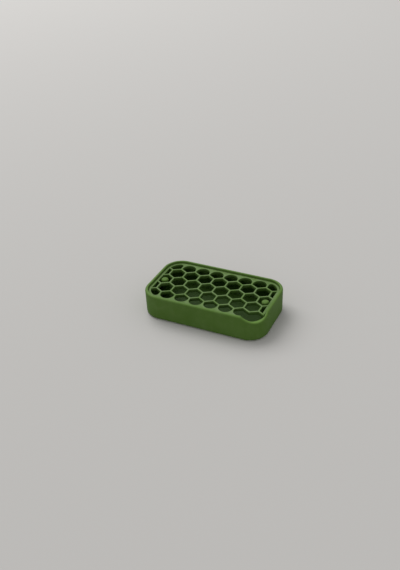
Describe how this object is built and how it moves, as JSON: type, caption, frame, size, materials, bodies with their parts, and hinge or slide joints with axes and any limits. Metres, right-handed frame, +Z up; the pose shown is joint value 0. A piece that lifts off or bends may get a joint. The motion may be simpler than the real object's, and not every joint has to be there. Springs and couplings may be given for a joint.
{
  "type": "soap dish",
  "caption": "Oblong two-piece soap dish: a deep tray with rounded corners and a pouring notch in one corner, and a lift-out honeycomb grate that holds the soap above the water.",
  "frame": {"origin": "on the surface the dish stands on, under the middle of its length and width", "axes": "+X along the length towards the end with the pouring notch, -Y towards the front long side, where that notch is, +Z up"},
  "size_m": [0.118, 0.068, 0.0242],
  "materials": {
    "tray_plastic": "satin moulded plastic, mid green",
    "grate_plastic": "satin moulded plastic, green, a little greyer than the tray",
    "foot_rubber": "matte dark rubber"
  },
  "bodies": {
    "tray": {"tray": "tray_plastic", "foot_front_left": "foot_rubber", "foot_front_right": "foot_rubber", "foot_rear_left": "foot_rubber", "foot_rear_right": "foot_rubber"},
    "grate": {"grate": "grate_plastic"}
  },
  "joints": [
    {"name": "grate_lift", "type": "slide", "parent": "tray", "child": "grate", "axis": [0, 0, 1], "range_m": [0, 0.04]}
  ]
}
